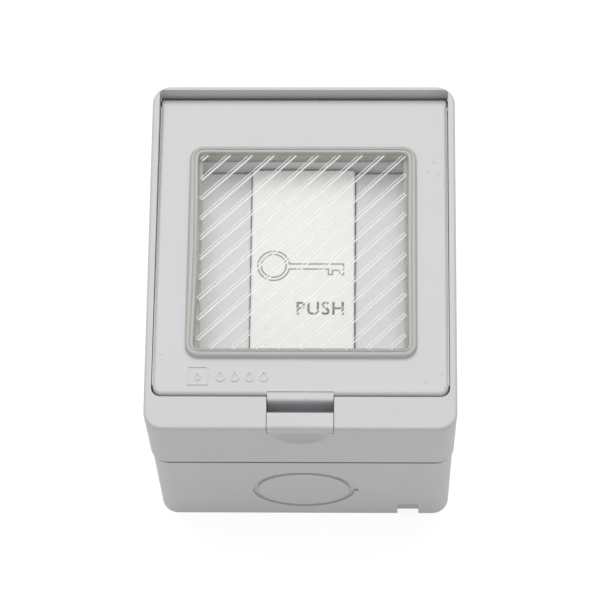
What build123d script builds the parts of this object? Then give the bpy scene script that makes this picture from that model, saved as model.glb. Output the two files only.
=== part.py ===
from build123d import *
import math
import os

os.makedirs("parts", exist_ok=True)

# The unit lies on its back: the wall face is z = 0, the front is +Z,
# and what is up on the wall is +Y. The origin is the centre of the wall face.

# Housing
width = 66.0
height = 80.0
depth = 56.0
seam_z = 35.0
seam_step = 0.25
seam_gap_height = 0.35
seam_gap_depth = 0.45
cover_draft = 0.8
box_draft = 0.5
corner_radius = 4.0
rim_round = 0.6
wall = 2.2
floor = 2.5
cavity_corner = 2.0

# Gasket in the seam
gasket_width = 1.2
gasket_depth = 1.0
gasket_corner = 3.0
gasket_play = 0.02

# Rim, band and recess that the lid lies in
rim_side = 1.5
rim_top = 0.9
band = 7.3
recess_corner_low = 2.0
recess_corner_high = 0.8

# Lid, which slopes to shed rain
lid_slope = 2.62
lid_drop_mid = 1.18
lid_thickness = 2.0
lid_gap_side = 0.3
lid_gap_low = 0.4
lid_corner = 2.0
lid_edge_round = 0.8
barrel_radius = 2.05
barrel_gap = 0.35
barrel_end_round = 0.5

# Hinge pins
pin_radius = 0.8
pin_play = 0.05
pin_in_wall = 0.8
pin_in_lid = 4.8

# Latch, one piece with the lid
latch_width = 14.0
latch_gap = 0.15
latch_leaf = 1.2
latch_round = 0.7
tab_round = 0.7
bar_round = 0.8
bar_round_inner = 0.4
latch_tab_drop = 1.3
latch_tab_reach = 0.7
latch_leaf_inset = 0.5
latch_slot_width = 3.25
latch_depth = 8.4
latch_bar = 2.65
latch_proud = 0.3
latch_overhang = 0.1
scoop_sphere = 12.0
scoop_depth = 1.6
scoop_drop = 3.4
slot_wall = 1.3
slot_floor_gap = 0.7
slot_inner_gap = 0.4
band_skin = 1.8
bar_gap = 0.3

# Soft window in the lid
window_width = 45.6
window_height = 47.5
window_y = 1.45
window_corner = 1.5
window_skin = 0.8
bead_width = 1.8
bead_lap = 0.3
bead_height = 1.5
bead_round = 0.7
flange_lap = 1.2
flange_thickness = 0.8
rib_count = 19
rib_pitch = 4.78
rib_angle = 45
rib_width = 0.55
rib_height = 0.3
rib_inset = 0.7
skirt_wall = 1.0

# Deck under the lid, with the well for the modules
deck_gap = 1.6
deck_thickness = 1.8
seal_width = 1.6
seal_gap = 0.3
seal_squeeze_gap = 0.1
collar_wall = 1.3
well_corner = 1.0

# Modules, on the 22.5 mm grid
module = 22.5
module_height = 45.0
module_y = 1.7
module_gap = 0.1
well_gap = 0.2
blank_drop = 2.0
blank_wall = 1.2
blank_play = 0.2
blank_clip_width = 3.6
switch_clip_width = 8.0
blank_body_depth = 4.5
carrier_drop = 4.6
carrier_thickness = 2.5
carrier_gap = 0.95
carrier_margin_y = 5.0
carrier_tab_width = 10.0
carrier_ledge = 1.8
carrier_corner = 3.0
carrier_opening_corner = 0.5
clip_reach = 0.7
clip_height = 1.4

# Push plate and the pin it tips on
plate_drop = 9.0
plate_skin = 1.2
plate_skirt = 0.6
plate_gap = 0.05
plate_end_gap = 0.2
plate_corner = 0.6
plate_edge_round = 0.4
axle_radius = 0.6
axle_play = 0.05
axle_from_end = 2.4
axle_drop = 2.6
ear_radius = 1.1
ear_width = 2.6
lug_width = 2.1
lug_depth = 2.4
ear_gap = 0.2
lug_inset = 1.5
press_angle = 2.4

# Switch
body_gap = 0.95
body_play = 0.4
body_wall = 1.2
body_front = 2.0
body_flange = 0.8
flange_play = 0.2
lug_top_gap = 0.3
body_depth = 14.4
base_depth = 11.0
base_lip = 1.2
base_lip_gap = 0.1
plunger_radius = 2.0
plunger_play = 0.05
plunger_gap = 0.15
plunger_round = 0.4
collar_radius = 3.4
collar_gap = 0.1
collar_height = 2.1
stem_radius = 1.5
stem_length = 6.5
boss_radius = 2.5
boss_height = 0.8

# Contacts
bridge_inset = 7.3
bridge_width = 4.0
bridge_thickness = 0.6
contact_gap = 0.05
strip = 0.6
contact_reach = 3.5
leg_inset = 2.2
foot_spacing = 1.9
no_arm_inset = 1.0
slot_play = 0.05

# Return spring
spring_wire = 0.5
spring_radius = 2.4
spring_turns = 6
spring_end_gap = 0.05

# Terminals
foot_length = 8.2
foot_width = 6.0
foot_depth = 3.5
pocket_play = 0.3
terminal_screw_radius = 1.5
terminal_head_radius = 2.6
terminal_head_height = 2.0
terminal_screw_tip = 2.0
clamp_thickness = 1.0
clamp_play = 0.1
wire_room = 2.2
wire_entry = 4.0
screw_reach = 4.4

# Screws of the housing
cover_screw_side = 2.75
cover_screw_top = 5.45
cover_screw_base = 7.95
pillar_radius = 4.0
screw_radius = 1.5
screw_play = 0.2
screw_head_radius = 2.6
screw_head_height = 2.0
screw_head_play = 0.3
screw_sink = 2.4
screw_bite = 13.0
carrier_screw_wall = 2.2
carrier_screw_radius = 1.25
carrier_head_radius = 2.2
carrier_head_height = 1.6
carrier_boss_radius = 3.0
carrier_screw_bite = 4.0
slot_recess_width = 0.7
slot_recess_depth = 0.8
slot_recess_share = 0.6
head_round_share = 0.4

# Wall fixing, cable knockout and the notch at the back edge
fixing_radius = 2.25
fixing_spacing = 60.0
knockout_z = 16.0
knockout_disc = 20.0
knockout_groove = 1.25
knockout_depth_out = 0.5
knockout_depth_in = 1.0
knockout_nick = 0.8
notch_x = 23.1
notch_width = 4.7
notch_open = 2.6
notch_height = 6.3
notch_depth = 0.9
notch_through = 2.8
notch_round = 0.9

# Sizes that follow from the ones above
overlap = 1.0
cover_depth = depth - seam_z
cover_shrink = cover_depth * math.tan(math.radians(cover_draft))
box_shrink = seam_z * math.tan(math.radians(box_draft))
box_half_x = width / 2 - cover_shrink - seam_step
box_half_y = height / 2 - cover_shrink - seam_step
cavity_x = box_half_x - box_shrink - wall
cavity_y = box_half_y - box_shrink - wall

lid_height_mid = depth - lid_drop_mid
latch_low = depth - latch_depth
scoop_z = depth - scoop_drop
plate_top = depth - plate_drop
blank_top = plate_top - blank_drop
carrier_top = plate_top - carrier_drop
axle_z = plate_top - axle_drop
base_top = carrier_top - body_depth
base_bottom = base_top - base_depth
foot_z = base_top - foot_depth

recess_x = width / 2 - rim_side
recess_top = height / 2 - rim_top
recess_low = -height / 2 + band

slope = math.radians(lid_slope)
hinge_y = recess_top - barrel_gap - barrel_radius
hinge_z = lid_height_mid - hinge_y * math.tan(slope) - barrel_radius / math.cos(slope)
lid_half_x = recess_x - lid_gap_side
lid_low = recess_low + lid_gap_low
leaf_y = lid_low + latch_leaf_inset
deck_drop = lid_thickness + deck_gap

well = 2 * module + 2 * well_gap
well_height = module_height + 2 * well_gap
opening_in_carrier = 2 * module - 2 * carrier_ledge
opening_in_carrier_y = module_height - 2 * carrier_ledge
body_half_x = module / 2 - body_gap
body_half_y = opening_in_carrier_y / 2 - body_play
plate_width = module - 2 * plate_gap
plate_height = module_height - 2 * plate_end_gap
plate_under = plate_top - plate_skin
axle_y = module_y + plate_height / 2 - axle_from_end
axle_half = plate_width / 2 - lug_inset
travel = (axle_y - module_y) * math.radians(press_angle)

plunger_top = plate_under - boss_height - plunger_gap
body_top = carrier_top + body_flange
body_inner_top = body_top - body_front
collar_top = body_inner_top - collar_gap
bridge_top = collar_top - collar_height
bridge_under = bridge_top - bridge_thickness
upper_contact = bridge_top + contact_gap
lower_contact = bridge_under - travel - contact_gap

lid_plane = Plane(
    origin=(0, 0, lid_height_mid),
    x_dir=(1, 0, 0),
    z_dir=(0, math.sin(slope), math.cos(slope)),
)


def block(x0, x1, y0, y1, z0, z1):
    """A plain box between two corners."""
    centre = ((x0 + x1) / 2, (y0 + y1) / 2, (z0 + z1) / 2)
    return Pos(*centre) * Box(abs(x1 - x0), abs(y1 - y0), abs(z1 - z0))


def slab(x0, x1, y0, y1, z0, z1, radius):
    """An upright box whose four upright edges are round."""
    outline = RectangleRounded(x1 - x0, y1 - y0, radius)
    return Pos((x0 + x1) / 2, (y0 + y1) / 2, z0) * extrude(outline, z1 - z0)


def upright(x, y, z0, z1, radius):
    """A round bar along Z."""
    return Pos(x, y, (z0 + z1) / 2) * Cylinder(radius, z1 - z0)


def cross_bar(x0, x1, y, z, radius):
    """A round bar along X."""
    return Pos((x0 + x1) / 2, y, z) * Rot(0, 90, 0) * Cylinder(radius, x1 - x0)


def tapered(half_x, half_y, radius, z_wide, z_narrow, draft):
    """A drafted block, widest at z_wide, that narrows towards z_narrow."""
    side = 1 if z_narrow > z_wide else -1
    start = Plane(origin=(0, 0, z_wide), x_dir=(1, 0, 0), z_dir=(0, 0, side))
    outline = start * RectangleRounded(2 * half_x, 2 * half_y, radius)
    return extrude(outline, abs(z_narrow - z_wide), taper=draft)


def on_lid(shape):
    """Move a shape drawn in the lid's own sloping frame to its place."""
    return lid_plane.location * shape


def below_lid(drop):
    """Everything that lies at least this far below the lid's face."""
    reach = 2 * height
    return on_lid(block(-reach, reach, -reach, reach, -drop - reach, -drop))


def deck_height(y):
    """Height of the deck's upper face at a place along Y."""
    return lid_height_mid - y * math.tan(slope) - deck_drop / math.cos(slope)


def save(shape, name):
    """Write one piece, or one group of alike pieces, to its file."""
    shape.label = name
    export_step(shape, "parts/" + name + ".step")


cover_screw_x = cavity_x - cover_screw_side
cover_screw_high = cavity_y - cover_screw_top
cover_screw_low = cover_screw_base - cavity_y
carrier_screw_reach = well_height / 2 + collar_wall + carrier_screw_wall
screw_places = [(-cover_screw_x, cover_screw_high), (cover_screw_x, cover_screw_low)]
carrier_places = [
    (0, module_y - carrier_screw_reach),
    (0, module_y + carrier_screw_reach),
]


# Back box
def gasket_ring(z0, z1, play):
    """The ring that the seam gasket and its groove share."""
    middle_x = (box_half_x + cavity_x) / 2
    middle_y = (box_half_y + cavity_y) / 2
    half = gasket_width / 2 - play
    outside = slab(-middle_x - half, middle_x + half, -middle_y - half, middle_y + half, z0, z1, gasket_corner)
    corner = gasket_corner - gasket_width
    inside = slab(-middle_x + half, middle_x - half, -middle_y + half, middle_y - half, z0, z1, corner)
    return outside - inside


def seam_gap():
    """Shadow gap all round, just below the front cover's edge."""
    low = seam_z - seam_gap_height
    wide = slab(
        -box_half_x - overlap, box_half_x + overlap, -box_half_y - overlap, box_half_y + overlap,
        low, seam_z + overlap, corner_radius,
    )
    inner_x = box_half_x - seam_gap_depth
    inner_y = box_half_y - seam_gap_depth
    core = slab(
        -inner_x, inner_x, -inner_y, inner_y,
        low, seam_z + overlap, corner_radius - seam_gap_depth,
    )
    return wide - core


def knockout_ring(y0, y1):
    """Ring cut along Y that marks out the cable knockout."""
    inner = knockout_disc / 2
    ring = Cylinder(inner + knockout_groove, y1 - y0) - Cylinder(inner, y1 - y0)
    return Pos(0, (y0 + y1) / 2, knockout_z) * Rot(90, 0, 0) * ring


def make_back_box():
    shell = tapered(box_half_x, box_half_y, corner_radius, seam_z, 0, box_draft)
    cavity = slab(-cavity_x, cavity_x, -cavity_y, cavity_y, floor, seam_z + overlap, cavity_corner)
    shell -= cavity
    inside = slab(
        -cavity_x - overlap, cavity_x + overlap, -cavity_y - overlap, cavity_y + overlap,
        0, seam_z, cavity_corner + overlap,
    )
    for x, y in screw_places:
        pillar = upright(x, y, floor - overlap, seam_z, pillar_radius)
        shell += pillar & inside
    for x, y in screw_places:
        shell -= upright(x, y, seam_z - screw_bite, seam_z + overlap, screw_radius)
    shell -= gasket_ring(seam_z - gasket_depth, seam_z + overlap, 0)
    shell -= seam_gap()
    for side in (-1, 1):
        shell -= upright(0, side * fixing_spacing / 2, -overlap, floor + overlap, fixing_radius)
    face_y = -(box_half_y - box_shrink) - knockout_z * math.tan(math.radians(box_draft))
    shell -= knockout_ring(face_y - overlap, face_y + knockout_depth_out)
    shell -= knockout_ring(-cavity_y - knockout_depth_in, -cavity_y + overlap)
    nick_x = knockout_disc / 2 + knockout_groove
    shell -= block(
        nick_x - overlap, nick_x + knockout_nick,
        face_y - overlap, face_y + knockout_depth_out,
        knockout_z - knockout_nick, knockout_z + knockout_nick,
    )
    notch_left = notch_x - notch_width / 2
    notch_right = notch_x + notch_width / 2
    back_y = -(box_half_y - box_shrink)
    shell -= block(
        notch_left, notch_right, back_y - overlap, back_y + notch_through, -overlap, notch_open
    )
    arch = block(
        notch_left, notch_right, back_y - overlap, back_y + notch_depth, -overlap, notch_height
    )
    shell -= fillet(arch.edges().filter_by(Axis.Y).group_by(Axis.Z)[-1], notch_round)
    return shell


# Front cover
def make_front_cover():
    outer = tapered(width / 2, height / 2, corner_radius, depth, seam_z, cover_draft)
    outer = fillet(outer.faces().sort_by(Axis.Z)[-1].edges(), rim_round)

    recess = block(-recess_x, recess_x, recess_low, recess_top, seam_z, depth + overlap)
    recess = fillet(recess.edges().filter_by(Axis.Z).group_by(Axis.Y)[0], recess_corner_low)
    recess = fillet(recess.edges().filter_by(Axis.Z).group_by(Axis.Y)[-1], recess_corner_high)
    recess -= below_lid(deck_drop)
    cavity = slab(-cavity_x, cavity_x, -cavity_y, cavity_y, seam_z - overlap, depth, cavity_corner)
    cavity &= below_lid(deck_drop + deck_thickness)
    cover = outer - recess - cavity

    inside = slab(
        -cavity_x - overlap, cavity_x + overlap, -cavity_y - overlap, cavity_y + overlap,
        seam_z, depth, cavity_corner + overlap,
    )
    under_deck = below_lid(deck_drop + deck_thickness / 2)
    for x, y in screw_places:
        cover += upright(x, y, seam_z, depth, pillar_radius) & under_deck & inside
    for x, y in carrier_places:
        cover += upright(x, y, carrier_top, depth, carrier_boss_radius) & under_deck

    well_x = well / 2
    well_low = module_y - well_height / 2
    well_high = module_y + well_height / 2
    collar = slab(
        -well_x - collar_wall, well_x + collar_wall,
        well_low - collar_wall, well_high + collar_wall,
        carrier_top, depth, well_corner + collar_wall,
    )
    cover += collar & under_deck
    cover -= slab(-well_x, well_x, well_low, well_high, seam_z, depth + overlap, well_corner)

    cover = cut_band(cover)
    cover = cut_screw_holes(cover)

    trough = barrel_radius + barrel_gap
    cover -= cross_bar(-recess_x, recess_x, hinge_y, hinge_z, trough)
    socket = recess_x + pin_in_wall
    cover -= cross_bar(-socket, socket, hinge_y, hinge_z, pin_radius)
    return cover


def cut_band(cover):
    """Core out the lower band and make the latch slot and the finger scoop."""
    slot_half = latch_width / 2 + latch_gap
    slot_floor = latch_low - slot_floor_gap
    slot_inner = leaf_y + slot_inner_gap
    slot_outer = -height / 2 + wall
    housing_block = block(
        -slot_half - slot_wall, slot_half + slot_wall,
        slot_outer - overlap / 2, slot_inner + slot_wall,
        slot_floor - slot_wall, depth - band_skin,
    )
    cover += housing_block & below_lid(deck_drop + deck_thickness / 2)
    for side in (-1, 1):
        core_near = slot_half + slot_wall
        core_far = cavity_x - overlap / 2
        cover -= block(
            side * core_near, side * core_far,
            -cavity_y, recess_low - rim_side,
            depth - band, depth - band_skin,
        )
    cover -= block(-slot_half, slot_half, slot_outer, slot_inner, slot_floor, depth + overlap)
    bar_floor = depth + latch_proud - latch_bar - bar_gap
    cover -= block(-slot_half, slot_half, -height, slot_outer, bar_floor, depth + overlap)
    scoop_y = -height / 2 - scoop_sphere + scoop_depth
    return cover - Pos(0, scoop_y, scoop_z) * Sphere(scoop_sphere)


def cut_screw_holes(cover):
    """Bore the pillars and bosses, and sink the heads below the deck."""
    for x, y in screw_places:
        seat = deck_height(y) - screw_sink
        cover -= upright(x, y, seat, depth + overlap, screw_head_radius + screw_head_play)
        cover -= upright(x, y, seam_z - overlap, depth, screw_radius + screw_play)
    for x, y in carrier_places:
        tip = carrier_top + carrier_screw_bite
        cover -= upright(x, y, carrier_top - overlap, tip, carrier_screw_radius)
    return cover


# Lid with its latch
def make_lid():
    plate = slab(
        -lid_half_x, lid_half_x, lid_low, hinge_y, -lid_thickness, 0, lid_corner
    )
    square_end = block(
        -lid_half_x, lid_half_x, hinge_y - 2 * lid_corner, hinge_y, -lid_thickness, 0
    )
    plate += square_end
    rim_edges = plate.faces().sort_by(Axis.Z)[-1].edges()
    rim_edges = [edge for edge in rim_edges if edge.center().Y < hinge_y - 0.01]
    plate = fillet(rim_edges, lid_edge_round)
    plate -= window_prism(-lid_thickness - overlap, overlap, 0)
    lid = on_lid(plate)

    barrel = cross_bar(-lid_half_x, lid_half_x, hinge_y, hinge_z, barrel_radius)
    barrel = fillet(barrel.edges().filter_by(GeomType.CIRCLE), barrel_end_round)
    lid += barrel

    latch = make_latch()
    lid -= latch_notch()
    lid += latch
    for side in (-1, 1):
        inner = side * (lid_half_x - pin_in_lid)
        outer = side * (lid_half_x + overlap)
        low, high = min(inner, outer), max(inner, outer)
        lid -= cross_bar(low, high, hinge_y, hinge_z, pin_radius + pin_play)
    return lid


def tab_top():
    """Height of the latch's tab, a step below the lid's lower edge."""
    return lid_height_mid - lid_low * math.tan(slope) - latch_tab_drop


def latch_notch():
    """Step in the lid's lower edge above the latch's tab."""
    half = latch_width / 2
    back = lid_low + latch_tab_reach
    return block(-half, half, lid_low - overlap, back, tab_top(), depth + overlap)


def make_latch():
    """Spring latch: a leaf that turns back up and ends in a finger bar."""
    inner_y = leaf_y
    outer_y = inner_y - latch_leaf - latch_slot_width
    end_y = -height / 2 - latch_overhang
    top = depth + latch_proud
    leaf = latch_leaf
    corners = [
        (inner_y + overlap, tab_top()),
        (inner_y - leaf, tab_top()),
        (inner_y - leaf, latch_low + leaf),
        (outer_y, latch_low + leaf),
        (outer_y, top),
        (end_y, top),
        (end_y, top - latch_bar),
        (outer_y - leaf, top - latch_bar),
        (outer_y - leaf, latch_low),
        (inner_y, latch_low),
        (inner_y, tab_top() - latch_tab_drop),
        (inner_y + overlap, tab_top() - latch_tab_drop),
    ]
    profile = make_face(Plane.YZ * Polyline(*corners, close=True))
    rounds = [
        ((inner_y - leaf, tab_top()), tab_round),
        ((outer_y, top), bar_round_inner),
        ((end_y, top), bar_round),
        ((end_y, top - latch_bar), bar_round_inner),
        ((outer_y - leaf, latch_low), latch_round),
        ((inner_y, latch_low), latch_round),
    ]
    for (y, z), radius in rounds:
        corner = profile.vertices().sort_by_distance((0, y, z))[0]
        profile = fillet(corner, radius)
    return extrude(profile, latch_width / 2, both=True)


# Soft window
def window_prism(z0, z1, grow):
    """The lid's opening in the lid's frame, wider by grow on each side."""
    half_x = window_width / 2 + grow
    half_y = window_height / 2 + grow
    corner = window_corner + max(grow, -0.5)
    return slab(-half_x, half_x, window_y - half_y, window_y + half_y, z0, z1, corner)


def make_ribs():
    """Slanting ribs, one of which runs into the upper right corner."""
    first = window_y + (window_height - window_width) / 2
    length = 2 * window_height
    ribs = []
    for index in range(rib_count):
        shift = first + (index - rib_count // 2) * rib_pitch
        rib = Rot(0, 0, rib_angle) * Box(length, rib_width, 4 * window_skin)
        ribs.append(Pos(-shift / 2, shift / 2, 0) * rib)
    return ribs


def make_lid_window():
    bead = window_prism(0, bead_height, bead_width)
    bead = fillet(bead.faces().sort_by(Axis.Z)[-1].edges(), bead_round)
    hollow = window_prism(0, bead_height, -bead_lap)
    bead -= hollow
    inner_edges = bead.faces().sort_by(Axis.Z)[-1].inner_wires()[0].edges()
    bead = fillet(inner_edges, bead_round)
    under = -lid_thickness - flange_thickness
    window = bead + window_prism(under, 0, 0)
    window += window_prism(under, -lid_thickness, flange_lap)
    window -= window_prism(under - overlap, -window_skin, -skirt_wall)
    inside = window_prism(-window_skin / 2, rib_height, -rib_inset)
    for rib in make_ribs():
        window += rib & inside
    return on_lid(window)


def make_lid_seal():
    inner = flange_lap + seal_gap
    top = -lid_thickness
    low = -deck_drop + seal_squeeze_gap
    ring = window_prism(low, top, inner + seal_width) - window_prism(low, top, inner)
    return on_lid(ring)


def make_hinge_pins():
    pins = []
    for side in (-1, 1):
        ends = sorted([side * (recess_x + pin_in_wall), side * (lid_half_x - pin_in_lid + 2 * pin_play)])
        pins.append(cross_bar(ends[0], ends[1], hinge_y, hinge_z, pin_radius))
    return Compound(children=pins)


# Screws of the housing
def pan_screw(x, y, seat, shank_end, radius, head_radius, head_height, up):
    """A screw with a low round head; up is 1 where the head is on top."""
    head_end = seat + up * head_height
    low, high = min(seat, head_end), max(seat, head_end)
    screw = upright(x, y, low, high, head_radius)
    rim = screw.edges().filter_by(GeomType.CIRCLE).sort_by(Axis.Z)[-1 if up > 0 else 0]
    screw = fillet(rim, head_height * head_round_share)
    low, high = min(seat, shank_end), max(seat, shank_end)
    screw += upright(x, y, low, high, radius)
    slot_low = head_end - up * slot_recess_depth
    low, high = min(slot_low, head_end + up), max(slot_low, head_end + up)
    for turn in (0, 90):
        arm = Box(slot_recess_share * 2 * head_radius, slot_recess_width, high - low)
        screw -= Pos(x, y, (low + high) / 2) * Rot(0, 0, turn) * arm
    return screw


def make_cover_screws():
    screws = []
    for x, y in screw_places:
        seat = deck_height(y) - screw_sink
        end = seam_z - screw_bite
        screws.append(
            pan_screw(x, y, seat, end, screw_radius, screw_head_radius, screw_head_height, 1)
        )
    return Compound(children=screws)


def make_carrier_screws():
    screws = []
    seat = carrier_top - carrier_thickness
    end = carrier_top + carrier_screw_bite
    for x, y in carrier_places:
        screws.append(
            pan_screw(
                x, y, seat, end,
                carrier_screw_radius, carrier_head_radius, carrier_head_height, -1,
            )
        )
    return Compound(children=screws)


# Carrier and blanks
def make_carrier_frame():
    low = carrier_top - carrier_thickness
    half_x = cavity_x - carrier_gap
    half_y = module_height / 2 + carrier_margin_y - carrier_ledge
    frame = slab(-half_x, half_x, module_y - half_y, module_y + half_y, low, carrier_top, carrier_corner)
    tab = carrier_tab_width / 2
    end = carrier_screw_reach + carrier_boss_radius
    frame += slab(-tab, tab, module_y - end, module_y + end, low, carrier_top, carrier_corner)
    open_x = opening_in_carrier / 2
    open_y = opening_in_carrier_y / 2
    frame -= slab(
        -open_x, open_x, module_y - open_y, module_y + open_y,
        low - overlap, carrier_top + overlap, carrier_opening_corner,
    )
    for x, y in carrier_places:
        frame -= upright(x, y, low - overlap, carrier_top + overlap, carrier_screw_radius)
    return frame


def clips(x0, x1, half_y):
    """Snap hooks at both ends of a module, under the carrier."""
    top = carrier_top - carrier_thickness
    hooks = []
    for side in (-1, 1):
        inner = module_y + side * (half_y - overlap / 2)
        outer = module_y + side * (opening_in_carrier_y / 2 + clip_reach)
        hooks.append(block(x0, x1, inner, outer, top - clip_height, top))
    return hooks


def make_blank(side):
    """Half-width filler module; side is -1 at the left and 1 at the right."""
    near = module / 2 + module_gap
    far = module - module_gap
    low = module_y - module_height / 2 + module_gap
    high = module_y + module_height / 2 - module_gap
    x0, x1 = sorted([side * near, side * far])
    cap = slab(x0, x1, low, high, carrier_top, blank_top, plate_corner)
    cap = fillet(cap.faces().sort_by(Axis.Z)[-1].edges(), plate_edge_round)
    body_far = opening_in_carrier / 2 - blank_play
    b0, b1 = sorted([side * (near + blank_play), side * body_far])
    under = carrier_top - blank_body_depth
    blank = cap + block(
        b0, b1, module_y - body_half_y, module_y + body_half_y, under, carrier_top
    )
    blank -= block(
        b0 + blank_wall, b1 - blank_wall,
        module_y - body_half_y + blank_wall, module_y + body_half_y - blank_wall,
        under - overlap, blank_top - blank_wall,
    )
    middle = (b0 + b1) / 2
    half_clip = blank_clip_width / 2
    for hook in clips(middle - half_clip, middle + half_clip, body_half_y):
        blank += hook
    return blank


# Push plate and its axle
def make_push_plate():
    half_x = plate_width / 2
    half_y = plate_height / 2
    low = plate_under - plate_skirt
    plate = slab(
        -half_x, half_x, module_y - half_y, module_y + half_y, low, plate_top, plate_corner
    )
    plate = fillet(plate.faces().sort_by(Axis.Z)[-1].edges(), plate_edge_round)
    skirt = skirt_wall
    plate -= block(
        -half_x + skirt, half_x - skirt,
        module_y - half_y + skirt, module_y + half_y - skirt,
        low - overlap, plate_under,
    )
    plate += upright(0, module_y, plate_under - boss_height, plate_under, boss_radius)
    lug_inner = axle_half - lug_width
    for side in (-1, 1):
        x0, x1 = sorted([side * (lug_inner - ear_gap - ear_width), side * (lug_inner - ear_gap)])
        plate += cross_bar(x0, x1, axle_y, axle_z, ear_radius)
        plate += block(x0, x1, axle_y - ear_radius, axle_y + ear_radius, axle_z, plate_under)
        plate -= cross_bar(x0 - 0.01, x1 + 0.01, axle_y, axle_z, axle_radius + axle_play)
    return plate


def make_plate_axle():
    return cross_bar(-axle_half, axle_half, axle_y, axle_z, axle_radius)


# Switch module
def make_switch_body():
    body = block(
        -body_half_x, body_half_x,
        module_y - body_half_y, module_y + body_half_y, base_top, body_top,
    )
    flange_x = module / 2 - module_gap - flange_play
    flange_y = module_height / 2 - module_gap
    body += block(
        -flange_x, flange_x, module_y - flange_y, module_y + flange_y, carrier_top, body_top
    )
    inner_x = body_half_x - body_wall
    inner_y = body_half_y - body_wall
    body -= block(
        -inner_x, inner_x, module_y - inner_y, module_y + inner_y,
        base_top - overlap, body_inner_top,
    )
    body -= upright(0, module_y, body_inner_top - 1, body_top + 1, plunger_radius + plunger_play)
    for hook in clips(-switch_clip_width / 2, switch_clip_width / 2, body_half_y):
        body += hook
    lug_top = plate_under - lug_top_gap
    for side in (-1, 1):
        x0, x1 = sorted([side * (axle_half - lug_width), side * axle_half])
        lug = block(
            x0, x1, axle_y - lug_depth / 2, axle_y + lug_depth / 2, body_top, lug_top
        )
        body += lug
        body -= cross_bar(x0 - 0.01, x1 + 0.01, axle_y, axle_z, axle_radius)
    return body


def make_plunger():
    plunger = upright(0, module_y, collar_top, plunger_top, plunger_radius)
    plunger = fillet(plunger.edges().filter_by(GeomType.CIRCLE).sort_by(Axis.Z)[-1], plunger_round)
    plunger += upright(0, module_y, bridge_top, collar_top, collar_radius)
    plunger += upright(0, module_y, bridge_top - stem_length, bridge_top, stem_radius)
    return plunger


def make_contact_bridge():
    half = body_half_y - bridge_inset
    bridge = block(
        -bridge_width / 2, bridge_width / 2, module_y - half, module_y + half,
        bridge_under, bridge_top,
    )
    return bridge - upright(0, module_y, bridge_under - 1, bridge_top + 1, stem_radius)


def make_return_spring():
    low = base_top + spring_end_gap + spring_wire / 2
    high = bridge_under - spring_end_gap - spring_wire / 2
    rise = high - low
    helix = Helix(pitch=rise / spring_turns, height=rise, radius=spring_radius)
    start = Plane(origin=helix @ 0, z_dir=helix % 0)
    coil = sweep(start * Circle(spring_wire / 2), path=helix, is_frenet=True)
    return Pos(0, module_y, low) * coil


# Contacts: where each leg stands along Y, and where its foot reaches to
half_bridge = body_half_y - bridge_inset
nc_leg = module_y + body_half_y - leg_inset
com_leg = module_y - body_half_y + leg_inset
no_leg = nc_leg - foot_length - foot_spacing


def strip_box(y0, y1, z0, z1, strip_width):
    low, high = sorted([y0, y1])
    return block(-strip_width / 2, strip_width / 2, low, high, z0, z1)


def terminal(leg, foot_side, arms):
    """One strip: contact arms, a leg through the base, and a foot for the screw."""
    top = max(z1 for y_end, z0, z1 in arms)
    shape = strip_box(leg - strip / 2, leg + strip / 2, foot_z - strip, top, bridge_width)
    for y_end, z0, z1 in arms:
        shape += strip_box(leg, y_end, z0, z1, bridge_width)
    foot_end = leg + foot_side * foot_length
    near = leg - foot_side * strip / 2
    shape += strip_box(near, foot_end, foot_z - strip, foot_z, foot_width)
    y = leg + foot_side * screw_reach
    return shape - upright(0, y, foot_z - 2 * strip, foot_z + strip, terminal_screw_radius)


upper_arm = (upper_contact, upper_contact + strip)
lower_arm = (lower_contact - strip, lower_contact)
arm_start = half_bridge - contact_reach
terminals = {
    "terminal_nc": (nc_leg, -1, [(module_y + arm_start, *upper_arm)]),
    "terminal_no": (no_leg, -1, [(module_y + half_bridge - no_arm_inset, *lower_arm)]),
    "terminal_com": (
        com_leg, 1,
        [(module_y - arm_start, *upper_arm), (module_y - arm_start, *lower_arm)],
    ),
}
clamp_top = foot_z - strip - wire_room
clamp_low = clamp_top - clamp_thickness


def terminal_screw_places():
    places = []
    for leg, foot_side, arms in terminals.values():
        places.append(leg + foot_side * screw_reach)
    return places


def make_switch_base():
    base = block(
        -body_half_x, body_half_x,
        module_y - body_half_y, module_y + body_half_y, base_bottom, base_top,
    )
    lip_x = body_half_x - body_wall - base_lip_gap
    lip_y = body_half_y - body_wall - base_lip_gap
    lip = block(
        -lip_x, lip_x, module_y - lip_y, module_y + lip_y, base_top - 1, base_top + base_lip
    )
    lip -= block(
        -lip_x + 1, lip_x - 1, module_y - lip_y + 1, module_y + lip_y - 1,
        base_top, base_top + 2 * base_lip,
    )
    base += lip
    for leg, foot_side, arms in terminals.values():
        near = leg - foot_side * (strip / 2 + slot_play)
        far = leg + foot_side * (foot_length + pocket_play)
        pocket_x = foot_width / 2 + pocket_play
        low, high = sorted([near, far])
        base -= block(-pocket_x, pocket_x, low, high, base_bottom - 1, foot_z)
        slot_half = strip / 2 + slot_play
        base -= block(
            -bridge_width / 2 - slot_play, bridge_width / 2 + slot_play,
            leg - slot_half, leg + slot_half, foot_z - 1, base_top + 2 * base_lip,
        )
        screw_y = leg + foot_side * screw_reach
        tip = foot_z + terminal_screw_tip + pocket_play
        base -= upright(0, screw_y, foot_z - 1, tip, terminal_screw_radius + screw_play)
        wire_half = wire_entry / 2
        base -= block(
            0, body_half_x + overlap, screw_y - wire_half, screw_y + wire_half,
            clamp_top, foot_z - strip,
        )
    return base


def make_terminal_screws():
    screws = []
    for y in terminal_screw_places():
        screws.append(
            pan_screw(
                0, y, clamp_low, foot_z + terminal_screw_tip,
                terminal_screw_radius, terminal_head_radius, terminal_head_height, -1,
            )
        )
    return Compound(children=screws)


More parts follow.
